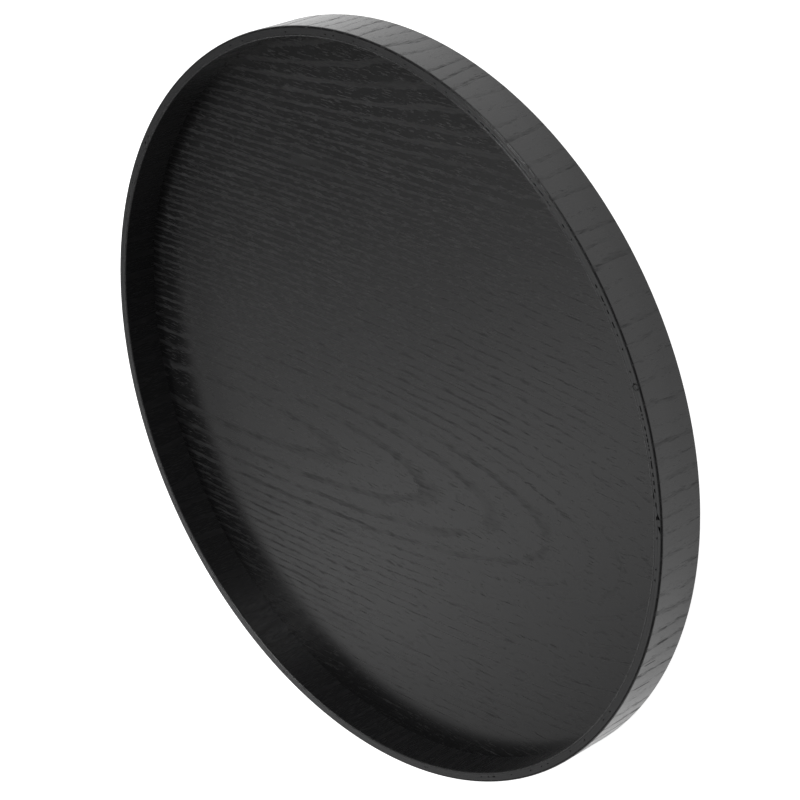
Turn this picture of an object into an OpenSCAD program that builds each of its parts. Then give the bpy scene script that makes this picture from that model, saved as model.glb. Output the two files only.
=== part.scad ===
// Round serving tray of moulded plywood, faced all over with ring-porous veneer.
// Origin: centre of the ring that the tray stands on. +Z points out of the tray's mouth.
// +X runs along the grain of the base's face veneer. Millimetres.

/* [Tray] */
// Outside diameter of the rim
outer_d = 300; // [240:5:360]
// Height of the rim from its foot to its top edge
rim_h = 20; // [16:0.5:26]

/* [Rim] */
// Thickness of the face veneers on the rim's two sides
rim_veneer_t = 0.8; // [0.6:0.05:1]
// Thickness of each of the rim's two structural plies
rim_ply_t = 1.2; // [0.7:0.05:1.5]
// Radius of the eased top edge on the outside
top_outer_round = 1; // [0.3:0.1:1.4]
// Radius of the eased top edge on the inside
top_inner_round = 0.5; // [0.2:0.1:0.7]
// Radius of the eased foot on the outside
foot_round = 0.4; // [0.2:0.1:0.6]

/* [Scarf joint] */
// Length of the bevel that joins the two ends of the rim strip
scarf_l = 27; // [20:1:36]
// Angle at which the bevel starts on the outside of the rim
scarf_at = 2; // [0:1:20]
// Thickness left at the thin edge of each bevel
thin_edge = 0.1; // [0.06:0.01:0.2]

/* [Base panel] */
// Height from the foot of the rim to the underside of the base panel
base_recess = 1.1; // [0.5:0.1:3]
// Thickness of the base panel's face and back veneers
base_veneer_t = 0.6; // [0.5:0.05:0.8]
// Thickness of the two crossbands, whose grain runs square to the veneers'
crossband_t = 0.95; // [0.8:0.05:1.2]
// Thickness of the core ply
core_t = 0.9; // [0.8:0.05:1.5]

/* [Fits] */
// Width of the glue line in the scarf and round the base panel
glue_gap = 0.1; // [0.05:0.01:0.2]
// Width of the butt seams between veneer leaves
seam_gap = 0.04; // [0.02:0.01:0.1]

/* [Hidden] */
$fn = 360;

veneer_black = [0.10, 0.10, 0.10];
ply_black = [0.07, 0.065, 0.06];
back_black = [0.12, 0.12, 0.12];

// Radii of the rim's four laminae, from the well outwards
outer_r = outer_d / 2;
outer_ply_r = outer_r - rim_veneer_t;
rebate_r = outer_ply_r - rim_ply_t;
inner_ply_r = rebate_r - rim_ply_t;
inner_r = inner_ply_r - rim_veneer_t;

// Heights of the base panel's layers. The inner laminae stand on its face.
panel_r = rebate_r - glue_gap;
lower_band_z = base_recess + base_veneer_t;
core_z = lower_band_z + crossband_t;
upper_band_z = core_z + core_t;
face_z = upper_band_z + crossband_t;
well_z = face_z + base_veneer_t;

// The scarf falls evenly from the outer face to the inner one over this turn
rim_t = outer_r - inner_r;
scarf_turn = scarf_l / (outer_r - rim_t / 2) * 180 / PI;
scarf_end = scarf_at + scarf_turn;

// Turns in which the scarf falls by the glue line, and by a bevel's thin edge
gap_turn = scarf_turn * glue_gap / rim_t;
thin_turn = scarf_turn * (thin_edge + glue_gap / 2) / rim_t;

// Angles of the veneer seams. The first and last leaves of each side meet on the scarf.
outer_seams = [scarf_at, scarf_at + 120, scarf_at + 240, scarf_at + 360];
inner_seams = [scarf_end, 125, 241, 268.5, scarf_end + 360];
seam_half_turn = seam_gap / 2 / outer_r * 180 / PI;

over = 1;          // how far a cutter stands past what it cuts
bevel_steps = 6;   // straight stretches in a bevel's curve within one lamina

// Radius of the middle of the scarf's glue line at an angle, and the other way round
function scarf_r(a) = outer_r - rim_t * (a - scarf_at) / scarf_turn;
function scarf_a(r) = scarf_at + scarf_turn * (outer_r - r) / rim_t;
function at(r, a) = r * [cos(a), sin(a)];

// Points beside the scarf from one angle to another, shifted outwards
function scarf_line(a_from, a_to, shift) = [
    for (i = [0 : bevel_steps])
        let (a = a_from + (a_to - a_from) * i / bevel_steps)
            at(scarf_r(a) + shift, a)
];

// What is outside a quarter circle at the corner (x, z); sx and sz point into the wood.
module corner_waste(x, z, r, sx, sz) {
    difference() {
        translate([sx > 0 ? x - over : x - r, sz > 0 ? z - over : z - r])
            square(r + over);
        translate([x + sx * r, z + sz * r])
            circle(r);
    }
}

// Section through the whole rim, in the plane of radius and height.
module rim_section() {
    difference() {
        translate([inner_r, 0])
            square([outer_r - inner_r, rim_h]);
        corner_waste(outer_r, rim_h, top_outer_round, -1, -1);
        corner_waste(inner_r, rim_h, top_inner_round, 1, -1);
        corner_waste(outer_r, 0, foot_round, -1, 1);
    }
}

// One lamina of the rim as a closed ring.
module lamina(r_in, r_out, z_from) {
    rotate_extrude()
        intersection() {
            rim_section();
            translate([r_in, z_from])
                square([r_out - r_in, rim_h + over - z_from]);
        }
}

// What a lamina loses so that its outside end rests on the scarf: all that is under the
// bevel, and the end of it that would be thinner than thin_edge.
module under_scarf(r_in, r_out) {
    a_start = scarf_a(r_out) - gap_turn;
    a_thin = scarf_a(r_out) + thin_turn;
    a_stop = scarf_a(r_in) + gap_turn;
    upright(concat(
        [at(r_in - over, a_start), at(r_out + over, a_start), at(r_out + over, a_thin)],
        scarf_line(a_thin, a_stop, glue_gap / 2),
        [at(r_in - over, a_stop)]
    ));
}

// The same for its inside end: all that is over the bevel, and the thin end.
module over_scarf(r_in, r_out) {
    a_start = scarf_a(r_out) - gap_turn;
    a_thin = scarf_a(r_in) - thin_turn;
    a_stop = scarf_a(r_in) + gap_turn;
    upright(concat(
        [at(r_out + over, a_stop), at(r_in - over, a_stop), at(r_in - over, a_thin)],
        scarf_line(a_thin, a_start, -glue_gap / 2),
        [at(r_out + over, a_start)]
    ));
}

// A wedge round the axis between two angles that are less than half a turn apart.
module wedge(a_from, a_to) {
    steps = 6;
    reach = 1.5 * outer_r;
    arc = [for (i = [0 : steps]) at(reach, a_from + (a_to - a_from) * i / steps)];
    upright(concat([[0, 0]], arc));
}

// An outline raised past the rim's full height.
module upright(outline) {
    translate([0, 0, -over])
        linear_extrude(rim_h + 2 * over)
            polygon(outline);
}

// One veneer leaf: a lamina between two seams, bevelled where it ends on the scarf.
module veneer_leaf(r_in, r_out, z_from, seams, k) {
    first = k == 0;
    last = k == len(seams) - 2;
    a_from = first ? scarf_a(r_out) : seams[k] + seam_half_turn;
    a_to = last ? scarf_a(r_in) + 360 : seams[k + 1] - seam_half_turn;
    color(veneer_black)
        difference() {
            intersection() {
                lamina(r_in, r_out, z_from);
                wedge(a_from, a_to);
            }
            if (first)
                under_scarf(r_in, r_out);
            if (last)
                over_scarf(r_in, r_out);
        }
}

// A ply of the rim: one strip bent round until its bevelled ends meet.
module bent_ply(r_in, r_out, z_from) {
    color(ply_black)
        difference() {
            lamina(r_in, r_out, z_from);
            intersection() {
                under_scarf(r_in, r_out);
                over_scarf(r_in, r_out);
            }
        }
}

// A layer of the base panel.
module disc(z_from, thickness) {
    translate([0, 0, z_from])
        cylinder(r = panel_r, h = thickness);
}

module base_back_veneer() {
    color(back_black) disc(base_recess, base_veneer_t);
}

module base_lower_crossband() {
    color(ply_black) disc(lower_band_z, crossband_t);
}

module base_core_ply() {
    color(ply_black) disc(core_z, core_t);
}

module base_upper_crossband() {
    color(ply_black) disc(upper_band_z, crossband_t);
}

module base_face_veneer() {
    color(veneer_black) disc(face_z, base_veneer_t);
}

// The inner ply stands on the panel's face, which makes the rebate that holds the panel.
module rim_inner_ply() {
    bent_ply(inner_ply_r, rebate_r, well_z);
}

// The outer ply runs the rim's full height and is the foot that the tray stands on.
module rim_outer_ply() {
    bent_ply(rebate_r, outer_ply_r, 0);
}

module outer_veneer_leaf(k) {
    veneer_leaf(outer_ply_r, outer_r, 0, outer_seams, k);
}

module inner_veneer_leaf(k) {
    veneer_leaf(inner_r, inner_ply_r, well_z, inner_seams, k);
}

base_back_veneer();
base_lower_crossband();
base_core_ply();
base_upper_crossband();
base_face_veneer();
rim_inner_ply();
rim_outer_ply();
outer_veneer_leaf(0);  // outer_veneer_leaf_1
outer_veneer_leaf(1);  // outer_veneer_leaf_2
outer_veneer_leaf(2);  // outer_veneer_leaf_3
inner_veneer_leaf(0);  // inner_veneer_leaf_1
inner_veneer_leaf(1);  // inner_veneer_leaf_2
inner_veneer_leaf(2);  // inner_veneer_leaf_3
inner_veneer_leaf(3);  // inner_veneer_leaf_4
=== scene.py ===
import math
import random
from collections import namedtuple

import bmesh
import bpy
from bpy.props import FloatProperty, FloatVectorProperty, IntProperty, PointerProperty
from bpy.types import Operator, Panel, PropertyGroup
from mathutils import Matrix, Vector


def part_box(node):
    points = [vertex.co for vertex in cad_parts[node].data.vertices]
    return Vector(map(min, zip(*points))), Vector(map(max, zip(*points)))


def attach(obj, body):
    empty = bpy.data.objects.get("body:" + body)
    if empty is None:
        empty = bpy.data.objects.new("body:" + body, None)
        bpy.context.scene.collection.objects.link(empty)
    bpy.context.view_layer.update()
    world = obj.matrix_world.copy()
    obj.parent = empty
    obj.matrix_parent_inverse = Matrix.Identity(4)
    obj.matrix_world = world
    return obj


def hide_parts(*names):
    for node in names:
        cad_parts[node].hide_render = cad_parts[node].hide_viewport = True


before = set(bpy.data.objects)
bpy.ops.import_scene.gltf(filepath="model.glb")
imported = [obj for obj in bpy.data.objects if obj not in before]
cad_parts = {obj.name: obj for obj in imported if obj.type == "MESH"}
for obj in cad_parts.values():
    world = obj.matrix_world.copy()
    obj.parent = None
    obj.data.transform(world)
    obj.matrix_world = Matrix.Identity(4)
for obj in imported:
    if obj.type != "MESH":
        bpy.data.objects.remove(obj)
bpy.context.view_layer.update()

bl_info = {
    "name": "Round Veneered Serving Tray",
    "version": (1, 0, 0),
    "blender": (4, 5, 0),
    "location": "3D View > Sidebar > Tray",
    "description": "Builds a round black-stained tray of bent plywood round its packed frame",
    "category": "Object",
}

MM = 0.001
BODY = "root"

OUTER_LEAVES = ("outer_veneer_leaf_1", "outer_veneer_leaf_2", "outer_veneer_leaf_3")
INNER_LEAVES = (
    "inner_veneer_leaf_1",
    "inner_veneer_leaf_2",
    "inner_veneer_leaf_3",
    "inner_veneer_leaf_4",
)
HIDDEN_PLIES = ("base_lower_crossband", "base_core_ply", "base_upper_crossband")


def reach(*nodes):
    """Largest distance from the tray's axis that these nodes' boxes show, less 0.01 mm."""
    ends = [abs(c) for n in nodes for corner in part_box(n) for c in (corner.x, corner.y)]
    return round(max(ends), 5) - 0.01 * MM


RIM_HEIGHT = round(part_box("rim_outer_ply")[1].z, 5)
OUTER_R = reach(*OUTER_LEAVES)
OUTER_PLY_R = reach("rim_outer_ply")
REBATE_R = reach("rim_inner_ply")
INNER_PLY_R = reach(*INNER_LEAVES)
INNER_R = INNER_PLY_R - (OUTER_R - OUTER_PLY_R)
RIM_THICK = OUTER_R - INNER_R
WELL_Z = round(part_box("base_face_veneer")[1].z, 5)
PANEL_R = reach("base_face_veneer")

# Angles of the butt seams between leaves, in degrees from +X. The first is the scarf's.
OUTER_SEAMS = (2.0, 122.0, 242.0, 362.0)
INNER_SEAMS = (12.45, 125.0, 241.0, 268.5, 372.45)
SEAM_GAP = 0.04 * MM

# Tolerance for picking out the vertices and faces that lie at a known place.
NEAR = 0.01 * MM

# One pore that stands out: its angle in degrees, and the rest in millimetres.
LongPore = namedtuple("LongPore", "angle height half_length half_width")

# Watts, degrees from +X, degrees above the floor, width and height in metres.
Softbox = namedtuple("Softbox", "name watts azimuth elevation width height")

# A crowd of pinholes on the rim's top edge: its middle and its spread, in degrees.
PinholeCrowd = namedtuple("PinholeCrowd", "middle spread")


class OuterSide:
    """Veneer on the outside of the rim. crowd is how open pores gather: on a ring, off it."""

    nodes = OUTER_LEAVES
    seams = OUTER_SEAMS
    r_in = OUTER_PLY_R
    r_out = OUTER_R
    z_from = 0.0
    slot = "rim_outer_veneer"
    ring_widths = (6.8, 6.2, 7.6)
    gloss = 0.37
    stain = 1.0
    # The outer leaves' pores are painted darker than the base's: painted shade in the open
    # pores, beyond what their relief casts.
    pore_stain_and_shade_share = 0.7
    crowd = (0.44, -0.34)
    long_pores = (
        LongPore(angle=-14.2, height=11.4, half_length=3.4, half_width=0.85),
        LongPore(angle=-22.8, height=13.0, half_length=5.0, half_width=0.45),
        LongPore(angle=-17.8, height=14.5, half_length=3.4, half_width=0.4),
    )


class InnerSide:
    """Veneer on the side of the rim that faces the well."""

    nodes = INNER_LEAVES
    seams = INNER_SEAMS
    r_in = INNER_R
    r_out = INNER_PLY_R
    z_from = WELL_Z
    slot = "rim_inner_veneer"
    ring_widths = (8.5, 9.5, 7.0, 9.0)
    gloss = 0.5
    # The inner leaves are painted nearly twice as light as the outer ones: painted fill light on
    # the inner wall, which the lamps here leave almost black.
    stain = 1.9
    pore_stain_and_shade_share = 1.1
    crowd = (0.16, -0.2)
    long_pores = ()


class CrownFigure:
    """Figure of the base's veneer in millimetres: arches round a crown, with a second crown."""

    ring_spacing = 5.1
    ring_spread = 0.003
    ring_offset = 0.16
    axis_slope = 0.058
    axis_offset = 30.4
    axis_along = 100.0
    core_depth = 17.8
    core_growth = 0.00051
    flank_from = 37.5
    flank_tightness = 0.10
    burl_at = (36.0, 55.0)
    burl_reach = (9.0, 22.0)
    burl_push = 1.4
    second_slope = 0.09
    second_from = 96.0
    second_bend = 0.0037
    second_ease = 0.00002


SOFTBOXES = (
    Softbox("key_light", watts=0.54, azimuth=-134.0, elevation=40.0, width=0.40, height=0.70),
    Softbox("far_light", watts=0.32, azimuth=-144.0, elevation=38.0, width=0.40, height=0.60),
    Softbox("low_light", watts=1.3, azimuth=-145.0, elevation=14.0, width=0.90, height=0.30),
    Softbox("high_light", watts=1.5, azimuth=-145.0, elevation=66.0, width=0.75, height=0.55),
    Softbox("back_light", watts=3.0, azimuth=174.0, elevation=66.0, width=0.26, height=0.26),
    Softbox("side_light", watts=7.5, azimuth=87.0, elevation=41.0, width=0.45, height=0.45),
    Softbox("fill_light", watts=1.5, azimuth=-80.0, elevation=21.0, width=0.90, height=0.50),
)

PINHOLE_CROWDS = (
    PinholeCrowd(middle=14.0, spread=6.0),
    PinholeCrowd(middle=36.0, spread=2.6),
    PinholeCrowd(middle=54.0, spread=6.0),
    PinholeCrowd(middle=65.0, spread=3.0),
)
PINHOLE_SEED = 7


# ---------------------------------------------------------------- settings


class TrayRimSettings(PropertyGroup):
    top_outer_round: FloatProperty(
        name="Top outer arris",
        description="Radius of the eased top edge on the outside",
        default=0.7 * MM,
        unit="LENGTH",
    )
    top_inner_round: FloatProperty(
        name="Top inner arris",
        description="Radius of the eased top edge on the inside",
        default=0.5 * MM,
        unit="LENGTH",
    )
    foot_round: FloatProperty(
        name="Foot arris",
        description="Radius of the eased foot on the outside",
        default=0.4 * MM,
        unit="LENGTH",
    )
    seam_chamfer: FloatProperty(
        name="Seam chamfer",
        description="How far the lacquer sinks along the lines between laminae",
        default=0.05 * MM,
        unit="LENGTH",
    )
    scarf_length: FloatProperty(
        name="Scarf length",
        description="Length of the bevel that joins the rim strip's two ends",
        default=27.0 * MM,
        unit="LENGTH",
    )
    scarf_start: FloatProperty(
        name="Scarf start",
        description="Angle from +X at which the bevel leaves the outer face",
        default=math.radians(OUTER_SEAMS[0]),
        subtype="ANGLE",
    )
    glue_line: FloatProperty(
        name="Scarf glue line",
        description="Radial width of the glue line in the scarf",
        default=0.03 * MM,
        unit="LENGTH",
    )
    turn_steps: IntProperty(
        name="Steps a turn",
        description="Straight steps in a full turn of the rim's laminae",
        default=720,
        min=90,
    )
    pinhole_steps: IntProperty(
        name="Inner ply steps",
        description="Straight steps in a turn of the inner ply, one pinhole long each",
        default=1300,
        min=360,
    )
    pinhole_track: FloatProperty(
        name="Pinhole track",
        description="Distance from the glue line between the plies to the row of open pores",
        default=0.08 * MM,
        unit="LENGTH",
    )
    pinhole_width: FloatProperty(
        name="Pinhole width",
        description="Width of the row of open pores",
        default=0.46 * MM,
        unit="LENGTH",
    )
    lacquer_bead: FloatProperty(
        name="Lacquer bead",
        description="Width of the lacquer that pools where the rim meets the base",
        default=0.35 * MM,
        unit="LENGTH",
    )
    knot_angle: FloatProperty(
        name="Pin knot",
        description="Angle from +X of the pin knot on the top edge",
        default=math.radians(24.3),
        subtype="ANGLE",
    )
    knot_place: FloatProperty(
        name="Pin knot distance",
        description="Distance of the pin knot from the tray's axis",
        default=148.2 * MM,
        unit="LENGTH",
    )
    knot_radius: FloatProperty(
        name="Pin knot radius",
        description="Radius of the ring of pores round the pin knot",
        default=1.1 * MM,
        unit="LENGTH",
    )
    pinhole_depth: FloatProperty(
        name="Pinhole depth",
        description="Depth of the open pores along the glue line on the top edge",
        default=0.6 * MM,
        unit="LENGTH",
    )


class TrayVeneerSettings(PropertyGroup):
    stain: FloatVectorProperty(
        name="Stain",
        description="Colour of the stained summer wood under its lacquer",
        subtype="COLOR",
        size=3,
        default=(0.0072, 0.0072, 0.0075),
        min=0,
        max=1,
    )
    pore_stain: FloatVectorProperty(
        name="Pore stain",
        description="Colour of the open pores, where no lacquer lies",
        subtype="COLOR",
        size=3,
        default=(0.019, 0.019, 0.0196),
        min=0,
        max=1,
    )
    sheen_roughness: FloatProperty(
        name="Lacquer roughness",
        description="Roughness of the satin lacquer over summer wood",
        default=0.26,
        subtype="FACTOR",
        min=0,
        max=1,
    )
    pore_roughness: FloatProperty(
        name="Pore roughness",
        description="Roughness where the pores are open",
        default=0.78,
        subtype="FACTOR",
        min=0,
        max=1,
    )
    pore_length: FloatProperty(
        name="Pore length",
        description="Length of one cut-open vessel along the grain",
        default=4.2 * MM,
        unit="LENGTH",
    )
    pore_width: FloatProperty(
        name="Pore width",
        description="Width of one cut-open vessel",
        default=0.31 * MM,
        unit="LENGTH",
    )
    pore_depth: FloatProperty(
        name="Pore depth",
        description="Depth of the open vessels",
        default=0.02 * MM,
        unit="LENGTH",
    )


class TrayStageSettings(PropertyGroup):
    floor_colour: FloatVectorProperty(
        name="Floor colour",
        description="Colour of the plain pale floor",
        subtype="COLOR",
        size=3,
        default=(0.86, 0.86, 0.86),
        min=0,
        max=1,
    )
    floor_glow: FloatProperty(
        name="Floor glow",
        description="Light that the floor gives by itself, as a lit table does",
        default=0.95,
        min=0,
    )
    light_distance: FloatProperty(
        name="Light distance",
        description="Distance of the soft lights from the tray's middle",
        default=1.4,
        unit="LENGTH",
    )
    sky: FloatProperty(
        name="Sky",
        description="Strength of the even light from above",
        default=0.1,
        min=0,
    )
    horizon: FloatProperty(
        name="Horizon",
        description="Strength of the light from the foot of the studio's walls",
        default=0.3,
        min=0,
    )
    camera_azimuth: FloatProperty(
        name="Camera azimuth",
        description="Direction of the camera from the tray, from +X towards +Y",
        default=math.radians(34.70),
        subtype="ANGLE",
    )
    camera_tilt: FloatProperty(
        name="Camera tilt",
        description="How far the camera looks down",
        default=math.radians(37.75),
        subtype="ANGLE",
    )
    camera_roll: FloatProperty(
        name="Camera roll",
        description="Turn of the camera about its own line of sight",
        default=math.radians(-113.26),
        subtype="ANGLE",
    )
    camera_distance: FloatProperty(
        name="Camera distance",
        description="Distance from the camera to the point it looks at",
        default=0.8389,
        unit="LENGTH",
    )
    aim_ahead: FloatProperty(
        name="Aim ahead",
        description="How far in front of the tray's axis the camera looks",
        default=26.7 * MM,
        unit="LENGTH",
    )
    camera_lens: FloatProperty(
        name="Focal length",
        description="Focal length on a 36 mm wide sensor, in millimetres",
        default=101.92,
    )


# ---------------------------------------------------------------- shader fields


class Field:
    """A number that varies over a surface. Sums and products of fields make Math nodes."""

    def __init__(self, tree, socket):
        self.tree = tree
        self.socket = socket

    def math(self, operation, *others):
        """The result of one Math node on this field and the others."""
        node = self.tree.nodes.new("ShaderNodeMath")
        node.operation = operation
        for slot, value in zip(node.inputs, (self, *others)):
            plug(self.tree, slot, value)
        return Field(self.tree, node.outputs[0])

    def __add__(self, other):
        return self.math("ADD", other)

    def __sub__(self, other):
        return self.math("SUBTRACT", other)

    def __mul__(self, other):
        return self.math("MULTIPLY", other)

    def __truediv__(self, other):
        return self.math("DIVIDE", other)

    def root(self):
        return self.math("SQRT")

    def size(self):
        return self.math("ABSOLUTE")

    def fraction(self):
        return self.math("FRACT")

    def exponential(self):
        return self.math("EXPONENT")

    def at_least(self, low, softness=0.0):
        """The larger of this and low, with a smooth change between them if softness is given."""
        if softness:
            return self.math("SMOOTH_MAX", low, softness)
        return self.math("MAXIMUM", low)

    def turned_down(self):
        """1 where this is 0, and 0 where it is 1."""
        return self * -1.0 + 1.0

    def step(self, low, high):
        """0 below low and 1 above high, with a smooth rise between them."""
        node = self.tree.nodes.new("ShaderNodeMapRange")
        node.interpolation_type = "SMOOTHSTEP"
        plug(self.tree, node.inputs["Value"], self)
        plug(self.tree, node.inputs["From Min"], low)
        plug(self.tree, node.inputs["From Max"], high)
        return Field(self.tree, node.outputs["Result"])


def plug(tree, socket, value):
    """Links a field to a socket, or sets the socket to a plain value."""
    if isinstance(value, Field):
        tree.links.new(value.socket, socket)
    else:
        socket.default_value = value


def place(tree, turn=0.0):
    """Object coordinates in millimetres as three fields, turned about the tray's axis."""
    coordinates = tree.nodes.new("ShaderNodeTexCoord")
    mapping = tree.nodes.new("ShaderNodeMapping")
    mapping.inputs["Rotation"].default_value = (0, 0, -turn)
    mapping.inputs["Scale"].default_value = (1 / MM, 1 / MM, 1 / MM)
    tree.links.new(coordinates.outputs["Object"], mapping.inputs["Vector"])
    split = tree.nodes.new("ShaderNodeSeparateXYZ")
    tree.links.new(mapping.outputs["Vector"], split.inputs["Vector"])
    return [Field(tree, s) for s in split.outputs]


def noise(x, y, z, sizes, shift=0.0, detail=0.0):
    """Smooth noise from about -1 to 1, whose features have these sizes along x, y and z."""
    tree = x.tree
    join = tree.nodes.new("ShaderNodeCombineXYZ")
    for slot, value, size in zip(join.inputs, (x, y, z), sizes):
        plug(tree, slot, value / size + shift)
    texture = tree.nodes.new("ShaderNodeTexNoise")
    texture.inputs["Scale"].default_value = 1.0
    texture.inputs["Detail"].default_value = detail
    tree.links.new(join.outputs["Vector"], texture.inputs["Vector"])
    return (Field(tree, texture.outputs["Fac"]) - 0.5) * 2.0


def new_material(name):
    """An empty node material and its Principled shader."""
    material = bpy.data.materials.new(name)
    material.use_nodes = True
    shader = material.node_tree.nodes["Principled BSDF"]
    return material, material.node_tree, shader


def blend_colour(tree, low, high, share):
    """A colour that goes from low to high as share goes from 0 to 1."""
    mix = tree.nodes.new("ShaderNodeMix")
    mix.data_type = "RGBA"
    plug(tree, mix.inputs["Factor"], share)
    for name, colour in (("A", low), ("B", high)):
        socket = next(s for s in mix.inputs if s.name == name and s.type == "RGBA")
        if isinstance(colour, bpy.types.NodeSocket):
            tree.links.new(colour, socket)
        else:
            socket.default_value = (*colour, 1)
    return next(s for s in mix.outputs if s.type == "RGBA")


def finish_wood(tree, shader, pores, band, mottle, height, stain_and_fill_share=1.0, pore_stain_and_shade_share=1.0):
    """Stain, lacquer and relief of black-stained wood from the fields of its figure."""
    look = bpy.context.scene.tray_veneer
    lightest = 1.3
    uneven = 0.03
    shade = (mottle * 0.25 + 0.5).at_least(0.0)
    # The stain share lightens the stain. On the inner leaves part of it is painted fill light,
    # and on the ply edges it is their own lighter tone.
    stain = [c * stain_and_fill_share for c in look.stain]
    lighter = [c * lightest for c in stain]
    ground = blend_colour(tree, stain, lighter, shade)
    # The pore share scales the pores' colour. On the outer leaves it darkens them as painted
    # shade, and on the ply edges it is the knot's own dark pores.
    pore_stain = [c * pore_stain_and_shade_share for c in look.pore_stain]
    colour = blend_colour(tree, ground, pore_stain, pores)
    tree.links.new(colour, shader.inputs["Base Color"])
    span = look.pore_roughness - look.sheen_roughness
    rough = pores * span + band * uneven + mottle * uneven + look.sheen_roughness
    plug(tree, shader.inputs["Roughness"], rough)
    bump = tree.nodes.new("ShaderNodeBump")
    bump.inputs["Strength"].default_value = 1.0
    bump.inputs["Distance"].default_value = MM
    plug(tree, bump.inputs["Height"], height)
    tree.links.new(bump.outputs["Normal"], shader.inputs["Normal"])


def vessels(along, across, thick, crowd, shift):
    """Open pores: dashes along the grain, more of them where crowd is higher."""
    look = bpy.context.scene.tray_veneer
    length = look.pore_length / MM
    width = look.pore_width / MM
    grain = noise(along, across, thick, (length, width, width), shift, detail=1.0)
    edge = 0.2
    return (grain + crowd).step(0.0, edge)


def stroke(along, across, place_along, place_across, half_length, half_width):
    """1 inside one long narrow mark, fading at its ends."""
    end = ((along - place_along) / half_length).size()
    side = ((across - place_across) / half_width).size()
    return end.step(0.6, 1.0).turned_down() * side.step(0.3, 1.0).turned_down()


# ---------------------------------------------------------------- materials


def crown_cut(along, across, shift):
    """Ring number over a leaf cut across a crown: nested arches with straight flanks."""
    form = CrownFigure
    burl = side_bump(along, across) * form.burl_push
    ripple = noise(along, across, along, (24.0, 8.0, 24.0), shift) * 0.45
    tremor = noise(along, across, along, (5.0, 1.6, 5.0), shift + 9.0) * 0.14
    side = across - along * form.axis_slope + form.axis_offset - burl + ripple + tremor
    run = along + form.axis_along
    depth = run * run * form.core_growth + form.core_depth
    distance = (side * side + depth * depth).root()
    flank = (distance - form.flank_from).at_least(0.0, 3.0) * form.flank_tightness
    edge = (across + along * form.second_slope - form.second_from).at_least(0.0, 10.0)
    second_crown = edge * edge * (edge * -form.second_ease + form.second_bend)
    rings = distance / form.ring_spacing + flank + distance * form.ring_spread
    return rings - second_crown + form.ring_offset


def side_bump(along, across):
    """1 at the burl, falling to nothing within a few centimetres."""
    at_along, at_across = CrownFigure.burl_at
    reach_along, reach_across = CrownFigure.burl_reach
    off_along = (along - at_along) / reach_along
    off_across = (across - at_across) / reach_across
    return ((off_along * off_along + off_across * off_across) * -1.0).exponential()


def ring_band(rings):
    """1 where a ring's spring wood starts, falling away towards its summer wood."""
    phase = rings.fraction()
    return phase.step(0.0, 0.1) * phase.step(0.14, 0.5).turned_down()


def base_veneer_material(name, turn, shift):
    """Crown-cut ash on the base panel, grain along X. Its figure is faint towards two sides."""
    material, tree, shader = new_material(name)
    along, across, up = place(tree, turn)
    rings = crown_cut(along, across, shift)
    strength = noise(along, rings, rings, (18.0, 1.3, 1.3), shift + 2.0) * 0.55 + 1.0
    towards_end = (along - across * 0.3).step(20.0, 115.0)
    towards_corner = (along * 0.6 - across * 0.8).step(0.0, 100.0)
    faint = towards_end.at_least(towards_corner)
    band = ring_band(rings) * (strength - faint * 0.6)
    pores_on_ring = 0.34
    pores_off_ring = 0.26
    crowd = band * pores_on_ring - pores_off_ring - faint * 0.1
    pores = vessels(along, across, up, crowd, shift)
    mottle = noise(along, across, up, (40.0, 9.0, 9.0), shift + 5.0, detail=2.0)
    fibre = noise(along, across, up, (6.0, 0.16, 0.16), shift + 3.0)
    depth = bpy.context.scene.tray_veneer.pore_depth / MM
    height = pores * -depth - band * 0.003 + fibre * 0.002
    finish_wood(tree, shader, pores, band, mottle, height)
    return material


def rim_veneer_material(name, middle, shift, ring_width, side):
    """Ash on a leaf of the rim, its grain upright. middle is the leaf's middle angle."""
    material, tree, shader = new_material(name)
    shader.inputs["Specular IOR Level"].default_value = side.gloss
    x, y, up = place(tree, middle)
    girth = y.math("ARCTAN2", x) * (OUTER_R / MM)
    lean_by = 4.5
    ripple_by = 0.35
    lean = noise(girth, up, girth, (34.0, 34.0, 34.0), shift) * lean_by
    ripple = noise(girth, up, girth, (2.6, 12.0, 2.6), shift + 4.0) * ripple_by
    rings = (girth + lean + ripple) / ring_width
    strength = noise(girth, up, girth, (9.0, 80.0, 9.0), shift + 7.0) * 0.9 + 0.65
    band = ring_band(rings) * strength.at_least(0.0)
    on_ring, off_ring = side.crowd
    shorter = 1.1
    finer = 1.8
    pores = vessels(up * shorter, x * finer, y * finer, band * on_ring + off_ring, shift)
    half_leaf = math.radians(60)
    for pore in side.long_pores:
        off = math.radians(pore.angle) - middle
        if abs(off) < half_leaf:
            at = off * OUTER_R / MM
            size = (pore.half_length, pore.half_width)
            pores = pores.at_least(stroke(up, girth + ripple, pore.height, at, *size))
    mottle = noise(up, girth, x, (30.0, 5.0, 30.0), shift + 5.0, detail=2.0)
    fibre = noise(up, x, y, (6.0, 0.16, 0.16), shift + 3.0)
    depth = bpy.context.scene.tray_veneer.pore_depth / MM
    height = pores * -depth * 1.5 - band * 0.004 + fibre * 0.003
    # The side's stain and pore shares carry painted fill light on the inner leaves and painted
    # shade in the outer leaves' pores.
    finish_wood(tree, shader, pores, band, mottle, height, side.stain, side.pore_stain_and_shade_share)
    return material


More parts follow.
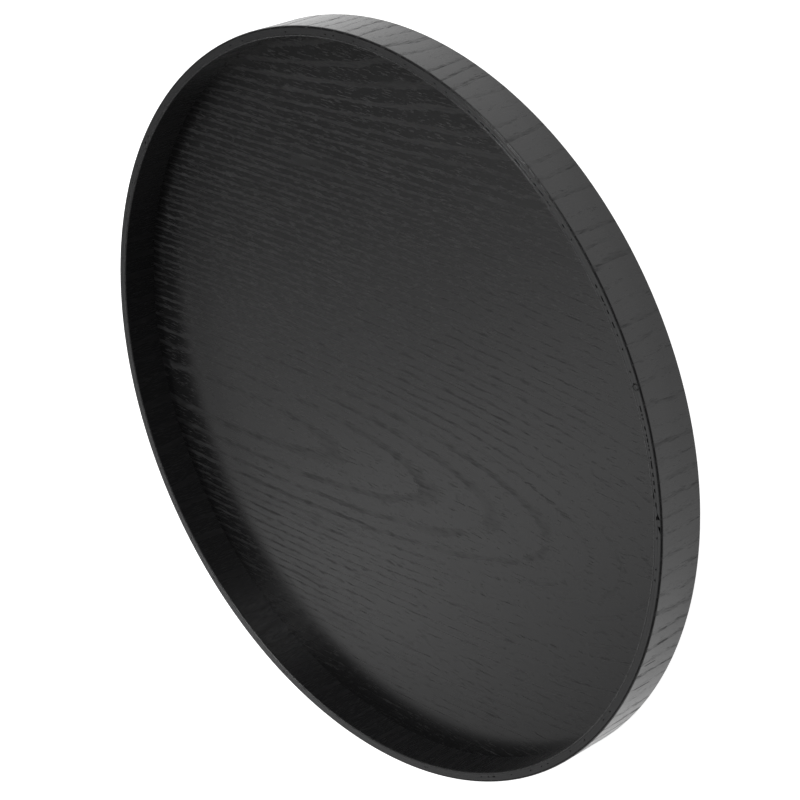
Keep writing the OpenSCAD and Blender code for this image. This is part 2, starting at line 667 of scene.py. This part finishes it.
def ply_material(name, shift):
    """Cut edges of the bent plies: fine lines that follow the strip round, and a pin knot."""
    material, tree, shader = new_material(name)
    x, y, up = place(tree)
    girth = y.math("ARCTAN2", x) * (OUTER_R / MM)
    radial = (x * x + y * y).root()
    streak = noise(girth, radial, up, (7.0, 0.14, 0.14), shift, detail=1.0)
    band = noise(girth, radial, up, (30.0, 0.5, 0.5), shift + 2.0).step(0.0, 0.5)
    knot = pin_knot(x, y)
    pores = (streak.step(0.36, 0.6) * 0.4).at_least(knot)
    mottle = noise(girth, radial, up, (12.0, 3.0, 3.0), shift + 5.0, detail=2.0)
    height = pores * -0.03 + streak * 0.004 - knot * 0.25
    dulled = band + 2.0
    finish_wood(tree, shader, pores, dulled, mottle, height, stain_and_fill_share=2.4, pore_stain_and_shade_share=0.1)
    return material


def pin_knot(x, y):
    """A small ring of open pores round a pin knot on the top edge."""
    rim = bpy.context.scene.tray_rim
    reach_out = rim.knot_place / MM
    from_x = x - reach_out * math.cos(rim.knot_angle)
    from_y = y - reach_out * math.sin(rim.knot_angle)
    off = (from_x * from_x + from_y * from_y).root() - rim.knot_radius / MM
    ring = off.size().step(0.14, 0.34).turned_down()
    beads = noise(x, y, x, (0.55, 0.55, 0.55), 40.0).step(-0.2, 0.1)
    return ring * beads


# ---------------------------------------------------------------- modelling


def new_piece(name, bm, material, node):
    """Makes the finished bmesh a piece that stands for a CAD node and rides on its body."""
    bmesh.ops.recalc_face_normals(bm, faces=bm.faces)
    mesh = bpy.data.meshes.new(name)
    bm.to_mesh(mesh)
    bm.free()
    mesh.materials.append(material)
    piece = bpy.data.objects.new(name, mesh)
    bpy.context.scene.collection.objects.link(piece)
    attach(piece, BODY)
    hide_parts(node)
    return piece


def everything(bm):
    """Every vertex, edge and face of a bmesh."""
    return [*bm.verts, *bm.edges, *bm.faces]


def ease(bm, corners, radius, segments):
    """Rounds some corners of a flat section."""
    bmesh.ops.bevel(
        bm,
        geom=corners,
        offset=radius,
        offset_type="OFFSET",
        segments=segments,
        profile=0.5,
        affect="VERTICES",
        material=-1,
        clamp_overlap=True,
    )


def cut_away(bm, point, towards):
    """Removes what lies on one side of a plane through point."""
    bmesh.ops.bisect_plane(
        bm, geom=everything(bm), plane_co=point, plane_no=towards, clear_outer=True
    )


def pool_lacquer(bm, width):
    """Flares the foot of a lamina that stands on the base, as pooled lacquer does."""
    bmesh.ops.bisect_plane(
        bm, geom=everything(bm), plane_co=(0, 0, WELL_Z + width), plane_no=(0, 0, 1)
    )
    foot = min(bm.verts, key=lambda v: (v.co.z, v.co.x))
    foot.co.x -= width


def lamina_section(r_in, r_out, z_from):
    """Section of one lamina, cut from the section of the whole rim with its eased edges."""
    rim = bpy.context.scene.tray_rim
    bm = bmesh.new()
    places = (
        (INNER_R, 0.0, None),
        (OUTER_R, 0.0, rim.foot_round),
        (OUTER_R, RIM_HEIGHT, rim.top_outer_round),
        (INNER_R, RIM_HEIGHT, rim.top_inner_round),
    )
    corners = [bm.verts.new((r, 0, z)) for r, z, _ in places]
    bm.faces.new(corners)
    round_steps = 8
    for corner, (_, _, radius) in zip(corners, places):
        if radius:
            ease(bm, [corner], radius, round_steps)
    cut_away(bm, (r_in, 0, 0), (-1, 0, 0))
    cut_away(bm, (r_out, 0, 0), (1, 0, 0))
    cut_away(bm, (0, 0, z_from), (0, 0, -1))
    sink_seams(bm, r_in, r_out)
    if r_in == INNER_R:
        pool_lacquer(bm, rim.lacquer_bead)
    return bm


def sink_seams(bm, r_in, r_out):
    """Chamfers a lamina's top corners that meet the next lamina."""
    width = bpy.context.scene.tray_rim.seam_chamfer
    shared = [r for r in (r_in, r_out) if INNER_R + NEAR < r < OUTER_R - NEAR]
    for r in shared:
        edge = [v for v in bm.verts if abs(v.co.x - r) < NEAR]
        ease(bm, [max(edge, key=lambda v: v.co.z)], width, 1)


def scarf_angle(radius):
    """Angle at which the scarf's glue line has this radius."""
    rim = bpy.context.scene.tray_rim
    turn = rim.scarf_length / (OUTER_R - RIM_THICK / 2)
    return rim.scarf_start + turn * (OUTER_R - radius) / RIM_THICK


def turn_to(vertex, angle):
    """Moves a vertex round the tray's axis to an angle."""
    radius = math.hypot(vertex.co.x, vertex.co.y)
    vertex.co = (radius * math.cos(angle), radius * math.sin(angle), vertex.co.z)


def bend(bm, start, stop, steps_a_turn, scarf_at_start, scarf_at_stop):
    """Spins a section round the axis, and bevels the ends that lie on the scarf."""
    rim = bpy.context.scene.tray_rim
    first = list(bm.verts)
    bmesh.ops.rotate(bm, verts=first, cent=(0, 0, 0), matrix=Matrix.Rotation(start, 3, "Z"))
    steps = max(2, round((stop - start) / (2 * math.pi) * steps_a_turn))
    spun = bmesh.ops.spin(
        bm,
        geom=everything(bm),
        cent=(0, 0, 0),
        axis=(0, 0, 1),
        angle=stop - start,
        steps=steps,
        use_merge=False,
    )
    last = [v for v in spun["geom_last"] if isinstance(v, bmesh.types.BMVert)]
    slack = rim.glue_line / 2 * rim.scarf_length / RIM_THICK / OUTER_R
    if scarf_at_start:
        for v in first:
            turn_to(v, scarf_angle(math.hypot(v.co.x, v.co.y)) + slack)
    if scarf_at_stop:
        for v in last:
            turn_to(v, scarf_angle(math.hypot(v.co.x, v.co.y)) - slack)


def disc(radius, z_from, z_to, edge):
    """A round panel spun from half its section, with a small easing on its edges."""
    merge_within = 1e-6
    ring_shares = (0.25, 0.5, 0.75, 0.9, 0.97)
    bm = bmesh.new()
    outline = ((0, z_from), (radius, z_from), (radius, z_to), (0, z_to))
    corners = [bm.verts.new((r, 0, z)) for r, z in outline]
    bm.faces.new(corners)
    ease(bm, corners[1:3], edge, 2)
    for share in ring_shares:
        bmesh.ops.bisect_plane(
            bm, geom=everything(bm), plane_co=(radius * share, 0, 0), plane_no=(1, 0, 0)
        )
    bmesh.ops.delete(bm, geom=bm.faces[:], context="FACES_ONLY")
    upright = [e for e in bm.edges if abs(e.verts[0].co.x - e.verts[1].co.x) < merge_within]
    inside = [e for e in upright if e.verts[0].co.x < radius - edge]
    bmesh.ops.delete(bm, geom=inside, context="EDGES")
    bmesh.ops.spin(
        bm,
        geom=[*bm.verts, *bm.edges],
        cent=(0, 0, 0),
        axis=(0, 0, 1),
        angle=2 * math.pi,
        steps=bpy.context.scene.tray_rim.turn_steps,
        use_merge=True,
    )
    bmesh.ops.remove_doubles(bm, verts=bm.verts, dist=merge_within)
    return bm


# ---------------------------------------------------------------- operators


class TRAY_OT_base_veneers(Operator):
    """Face and back veneers of the base panel"""

    bl_idname = "tray.base_veneers"
    bl_label = "Base Veneers"

    def execute(self, context):
        edge_round = 0.1 * MM
        layers = (
            ("face_veneer", "base_face_veneer", 0.0, 0.0),
            ("back_veneer", "base_back_veneer", math.pi, 31.0),
        )
        for name, node, turn, shift in layers:
            low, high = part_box(node)
            bm = disc(PANEL_R, low.z, high.z, edge_round)
            material = base_veneer_material(name + "_ash", turn, shift)
            new_piece(name, bm, material, node)
        return {"FINISHED"}


class TRAY_OT_base_plies(Operator):
    """Finish of the crossbands and core inside the base panel"""

    bl_idname = "tray.base_plies"
    bl_label = "Base Plies"

    def execute(self, context):
        material = ply_material("base_ply_edge", 12.0)
        for name in HIDDEN_PLIES:
            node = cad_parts[name]
            if not node.material_slots:
                node.data.materials.append(material)
            for slot in node.material_slots:
                slot.link = "OBJECT"
                slot.material = material
        return {"FINISHED"}


class TRAY_OT_rim_plies(Operator):
    """The two bent plies of the rim, with open pinholes along the inner glue line"""

    bl_idname = "tray.rim_plies"
    bl_label = "Rim Plies"

    def execute(self, context):
        rim = context.scene.tray_rim
        material = ply_material("rim_ply_edge", 3.0)
        bm = lamina_section(REBATE_R, OUTER_PLY_R, 0.0)
        self.close(bm, REBATE_R, OUTER_PLY_R, rim.turn_steps)
        new_piece("outer_ply", bm, material, "rim_outer_ply")

        bm = lamina_section(INNER_PLY_R, REBATE_R, WELL_Z)
        far = REBATE_R - rim.pinhole_track
        near = far - rim.pinhole_width
        for r in (near, far):
            bmesh.ops.bisect_plane(
                bm, geom=everything(bm), plane_co=(r, 0, 0), plane_no=(1, 0, 0)
            )
        self.close(bm, INNER_PLY_R, REBATE_R, rim.pinhole_steps)
        self.open_pinholes(bm, near, far)
        new_piece("inner_ply", bm, material, "rim_inner_ply")
        return {"FINISHED"}

    def close(self, bm, r_in, r_out, steps):
        """Bends a ply's section right round, from the scarf to the scarf."""
        start = scarf_angle((r_in + r_out) / 2)
        bend(bm, start, start + 2 * math.pi, steps, True, True)

    def open_pinholes(self, bm, near, far):
        """Sinks some faces of a narrow track on the top edge, in uneven clusters."""
        rim = bpy.context.scene.tray_rim
        draw = random.Random(PINHOLE_SEED)
        lip = 0.03 * MM
        middle = (near + far) / 2
        bmesh.ops.recalc_face_normals(bm, faces=bm.faces)
        track = []
        for face in bm.faces:
            centre = face.calc_center_median()
            on_top = centre.z > RIM_HEIGHT - NEAR
            if on_top and abs(math.hypot(centre.x, centre.y) - middle) < 4 * NEAR:
                track.append((math.atan2(centre.y, centre.x), face))
        track.sort(key=lambda item: item[0])
        holes = [face for angle, face in track if draw.random() < self.crowding(angle)]
        bmesh.ops.inset_individual(
            bm, faces=holes, thickness=lip, depth=-rim.pinhole_depth, use_even_offset=True
        )

    def crowding(self, angle):
        """Chance that the pore at this angle is open: four crowds and a few strays."""
        in_crowd = 0.45
        stray = 0.04
        chance = stray
        for crowd in PINHOLE_CROWDS:
            off = math.degrees(angle) - crowd.middle
            chance += in_crowd * math.exp(-((off / crowd.spread) ** 2))
        return chance + stray * math.sin(5 * angle)


class TRAY_OT_outer_leaves(Operator):
    """Veneer leaves on the outside of the rim"""

    bl_idname = "tray.outer_leaves"
    bl_label = "Outer Leaves"

    def execute(self, context):
        wrap_leaves(OuterSide)
        return {"FINISHED"}


class TRAY_OT_inner_leaves(Operator):
    """Veneer leaves on the side of the rim that faces the well"""

    bl_idname = "tray.inner_leaves"
    bl_label = "Inner Leaves"

    def execute(self, context):
        wrap_leaves(InnerSide)
        return {"FINISHED"}


def wrap_leaves(side):
    """Makes the leaves of one side of the rim, seam to seam."""
    rim = bpy.context.scene.tray_rim
    half_seam = SEAM_GAP / 2 / OUTER_R
    for k, node in enumerate(side.nodes):
        first = k == 0
        last = k == len(side.nodes) - 1
        start = math.radians(side.seams[k])
        stop = math.radians(side.seams[k + 1])
        bm = lamina_section(side.r_in, side.r_out, side.z_from)
        if first:
            start = scarf_angle(side.r_in)
        if last:
            stop = scarf_angle(side.r_out) + 2 * math.pi
        bend(
            bm,
            start + (0 if first else half_seam),
            stop - (0 if last else half_seam),
            rim.turn_steps,
            first,
            last,
        )
        name = node.replace("_veneer", "")
        middle = math.remainder((start + stop) / 2, math.tau)
        shift = 11.0 * k + side.seams[k]
        material = rim_veneer_material(name + "_ash", middle, shift, side.ring_widths[k], side)
        new_piece(name, bm, material, node)


class TRAY_OT_stage(Operator):
    """Pale floor, soft lights and the camera"""

    bl_idname = "tray.stage"
    bl_label = "Stage"

    def execute(self, context):
        stage = context.scene.tray_stage
        context.scene.view_settings.view_transform = "Standard"
        self.lay_floor(stage)
        self.hang_lights(stage)
        self.set_camera(stage)
        return {"FINISHED"}

    def lay_floor(self, stage):
        """A wide plain floor that can't be seen from below."""
        bm = bmesh.new()
        bmesh.ops.create_grid(bm, x_segments=1, y_segments=1, size=4.0)
        mesh = bpy.data.meshes.new("floor")
        bm.to_mesh(mesh)
        bm.free()
        floor = bpy.data.objects.new("floor", mesh)
        bpy.context.scene.collection.objects.link(floor)
        material, tree, shader = new_material("floor_white")
        shader.inputs["Base Color"].default_value = (*stage.floor_colour, 1)
        shader.inputs["Roughness"].default_value = 0.9
        shader.inputs["Specular IOR Level"].default_value = 0.1
        shader.inputs["Emission Color"].default_value = (1, 1, 1, 1)
        shader.inputs["Emission Strength"].default_value = stage.floor_glow
        side = tree.nodes.new("ShaderNodeNewGeometry")
        clear = tree.nodes.new("ShaderNodeBsdfTransparent")
        mix = tree.nodes.new("ShaderNodeMixShader")
        tree.links.new(side.outputs["Backfacing"], mix.inputs["Fac"])
        tree.links.new(shader.outputs["BSDF"], mix.inputs[1])
        tree.links.new(clear.outputs["BSDF"], mix.inputs[2])
        tree.links.new(mix.outputs["Shader"], tree.nodes["Material Output"].inputs["Surface"])
        mesh.materials.append(material)

    def hang_lights(self, stage):
        """Soft lights beyond and beside the tray, and weak light from the studio's walls."""
        world = bpy.data.worlds.new("studio")
        world.use_nodes = True
        tree = world.node_tree
        direction = tree.nodes.new("ShaderNodeTexCoord")
        split = tree.nodes.new("ShaderNodeSeparateXYZ")
        tree.links.new(direction.outputs["Generated"], split.inputs["Vector"])
        above = Field(tree, split.outputs["Z"]).step(0.2, 0.42)
        background = tree.nodes["Background"]
        background.inputs["Color"].default_value = (1, 1, 1, 1)
        strength = above * (stage.sky - stage.horizon) + stage.horizon
        plug(tree, background.inputs["Strength"], strength)
        bpy.context.scene.world = world
        for box in SOFTBOXES:
            self.hang(box, stage.light_distance)

    def hang(self, box, distance):
        """A rectangular soft light that faces the tray."""
        light = bpy.data.lights.new(box.name, "AREA")
        light.shape = "RECTANGLE"
        light.size = box.width
        light.size_y = box.height
        light.energy = box.watts
        lamp = bpy.data.objects.new(box.name, light)
        bpy.context.scene.collection.objects.link(lamp)
        a = math.radians(box.azimuth)
        e = math.radians(box.elevation)
        back = Vector((math.cos(a) * math.cos(e), math.sin(a) * math.cos(e), math.sin(e)))
        lamp.location = back * distance
        lamp.rotation_euler = (-back).to_track_quat("-Z", "Y").to_euler()

    def set_camera(self, stage):
        """The camera looks down at the tray's mouth and is turned about its own axis."""
        data = bpy.data.cameras.new("camera")
        data.lens = stage.camera_lens
        data.sensor_width = 36.0
        data.clip_start = 0.01
        camera = bpy.data.objects.new("camera", data)
        bpy.context.scene.collection.objects.link(camera)
        towards = Vector((math.cos(stage.camera_azimuth), math.sin(stage.camera_azimuth), 0))
        aim = towards * stage.aim_ahead + Vector((0, 0, RIM_HEIGHT))
        rise = math.sin(stage.camera_tilt)
        back = towards * math.cos(stage.camera_tilt) + Vector((0, 0, rise))
        upright = (-back).to_track_quat("-Z", "Y").to_matrix()
        turned = upright @ Matrix.Rotation(stage.camera_roll, 3, "Z")
        camera.location = aim + back * stage.camera_distance
        camera.rotation_euler = turned.to_euler()
        bpy.context.scene.camera = camera


class VIEW3D_PT_tray(Panel):
    """Lists the steps that build the tray"""

    bl_label = "Serving Tray"
    bl_space_type = "VIEW_3D"
    bl_region_type = "UI"
    bl_category = "Tray"

    def draw(self, context):
        for operator in OPERATORS:
            self.layout.operator(operator.bl_idname)
        for group in ("tray_rim", "tray_veneer", "tray_stage"):
            settings = getattr(context.scene, group)
            box = self.layout.box()
            for name in settings.__annotations__:
                box.prop(settings, name)


OPERATORS = (
    TRAY_OT_base_veneers,
    TRAY_OT_base_plies,
    TRAY_OT_rim_plies,
    TRAY_OT_outer_leaves,
    TRAY_OT_inner_leaves,
    TRAY_OT_stage,
)
SETTINGS = {
    "tray_rim": TrayRimSettings,
    "tray_veneer": TrayVeneerSettings,
    "tray_stage": TrayStageSettings,
}


def register():
    for cls in (*SETTINGS.values(), *OPERATORS, VIEW3D_PT_tray):
        bpy.utils.register_class(cls)
    for name, cls in SETTINGS.items():
        setattr(bpy.types.Scene, name, PointerProperty(type=cls))


def unregister():
    for name in SETTINGS:
        delattr(bpy.types.Scene, name)
    for cls in reversed((*SETTINGS.values(), *OPERATORS, VIEW3D_PT_tray)):
        bpy.utils.unregister_class(cls)


def main():
    register()
    bpy.ops.tray.base_veneers()
    bpy.ops.tray.base_plies()
    bpy.ops.tray.rim_plies()
    bpy.ops.tray.outer_leaves()
    bpy.ops.tray.inner_leaves()
    bpy.ops.tray.stage()


if __name__ == "__main__":
    main()
